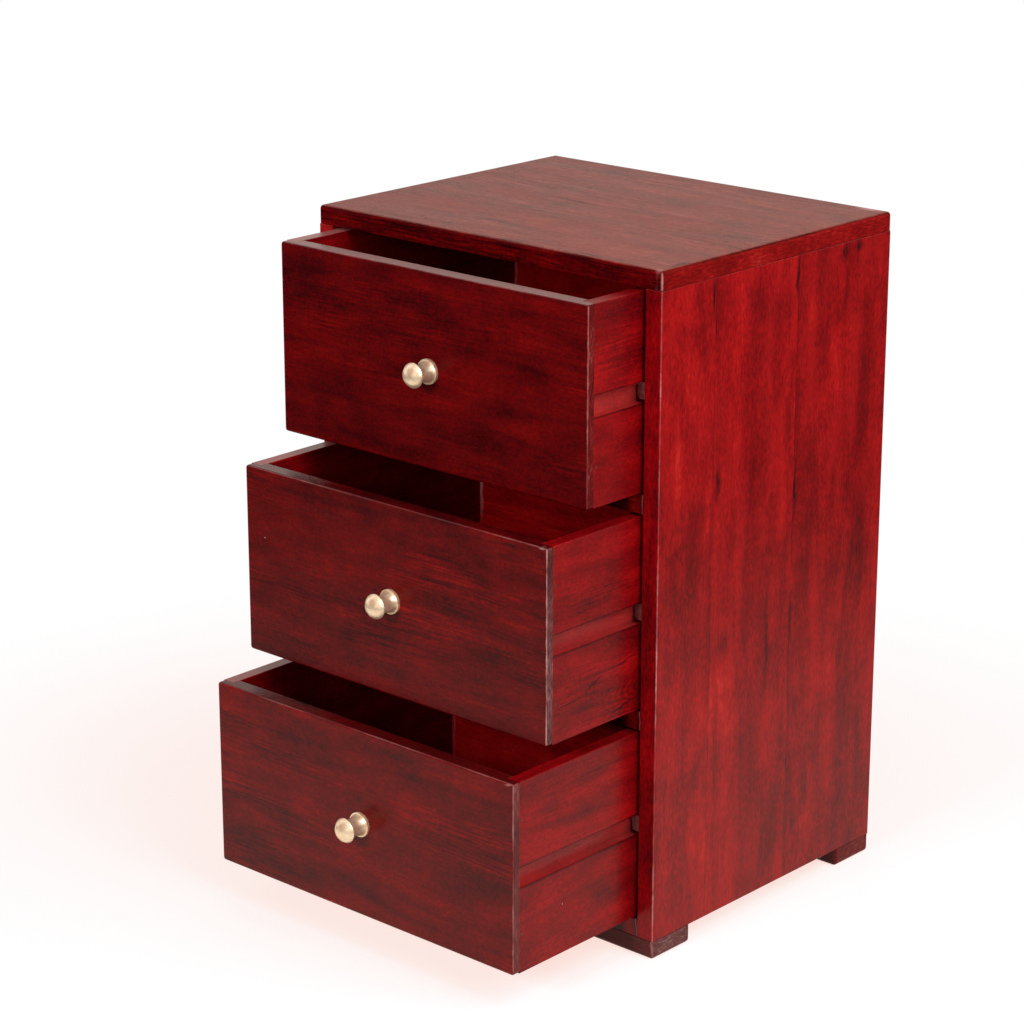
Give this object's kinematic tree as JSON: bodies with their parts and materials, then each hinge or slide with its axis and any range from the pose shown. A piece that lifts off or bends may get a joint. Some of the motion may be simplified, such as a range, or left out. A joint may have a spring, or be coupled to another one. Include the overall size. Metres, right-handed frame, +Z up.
{
  "type": "drawer chest",
  "caption": "Small red-stained wooden chest of stacked drawers that slide on side runners, with turned brass knobs and low block feet, for craft supplies and small parts.",
  "frame": {"origin": "on the floor, under the middle of the box round the whole chest as it rests, with its drawers pulled out", "axes": "+Z up, -Y out of the front, the way the drawers open, +X to the right side seen from the front"},
  "size_m": [0.259, 0.3276, 0.4],
  "materials": {
    "case_wood": "satin lacquer",
    "front_wood": "satin lacquer",
    "drawer_wood": "satin lacquer",
    "panel_wood": "thin stain",
    "runner_wood": "thin stain",
    "foot_wood": "dark stain",
    "dowel_wood": "bare",
    "knob_brass": "polished",
    "fastener_steel": "bright"
  },
  "bodies": {
    "case": {"left_side_panel": "case_wood", "right_side_panel": "case_wood", "top_panel": "case_wood", "bottom_panel": "case_wood", "back_panel": "panel_wood", "upper_rail": "case_wood", "lower_rail": "case_wood", "top_dowels": "dowel_wood", "bottom_dowels": "dowel_wood", "rail_dowels": "dowel_wood", "runner_screws": "fastener_steel", "foot_screws": "fastener_steel", "back_panel_nails": "fastener_steel", "lower_left_runner": "runner_wood", "lower_right_runner": "runner_wood", "middle_left_runner": "runner_wood", "middle_right_runner": "runner_wood", "upper_left_runner": "runner_wood", "upper_right_runner": "runner_wood", "front_left_foot": "foot_wood", "front_right_foot": "foot_wood", "back_left_foot": "foot_wood", "back_right_foot": "foot_wood"},
    "lower_drawer": {"lower_drawer_front": "front_wood", "lower_drawer_left_side": "drawer_wood", "lower_drawer_right_side": "drawer_wood", "lower_drawer_back": "drawer_wood", "lower_drawer_bottom": "panel_wood", "lower_drawer_knob": "knob_brass", "lower_drawer_knob_screw": "fastener_steel", "lower_drawer_brads": "fastener_steel"},
    "middle_drawer": {"middle_drawer_front": "front_wood", "middle_drawer_left_side": "drawer_wood", "middle_drawer_right_side": "drawer_wood", "middle_drawer_back": "drawer_wood", "middle_drawer_bottom": "panel_wood", "middle_drawer_knob": "knob_brass", "middle_drawer_knob_screw": "fastener_steel", "middle_drawer_brads": "fastener_steel"},
    "upper_drawer": {"upper_drawer_front": "front_wood", "upper_drawer_left_side": "drawer_wood", "upper_drawer_right_side": "drawer_wood", "upper_drawer_back": "drawer_wood", "upper_drawer_bottom": "panel_wood", "upper_drawer_knob": "knob_brass", "upper_drawer_knob_screw": "fastener_steel", "upper_drawer_brads": "fastener_steel"}
  },
  "joints": [
    {"name": "lower_drawer_slide", "type": "slide", "parent": "case", "child": "lower_drawer", "axis": [0, -1, 0], "range_m": [-0.098, 0.0455]},
    {"name": "middle_drawer_slide", "type": "slide", "parent": "case", "child": "middle_drawer", "axis": [0, -1, 0], "range_m": [-0.0715, 0.072]},
    {"name": "upper_drawer_slide", "type": "slide", "parent": "case", "child": "upper_drawer", "axis": [0, -1, 0], "range_m": [-0.0395, 0.104]}
  ]
}
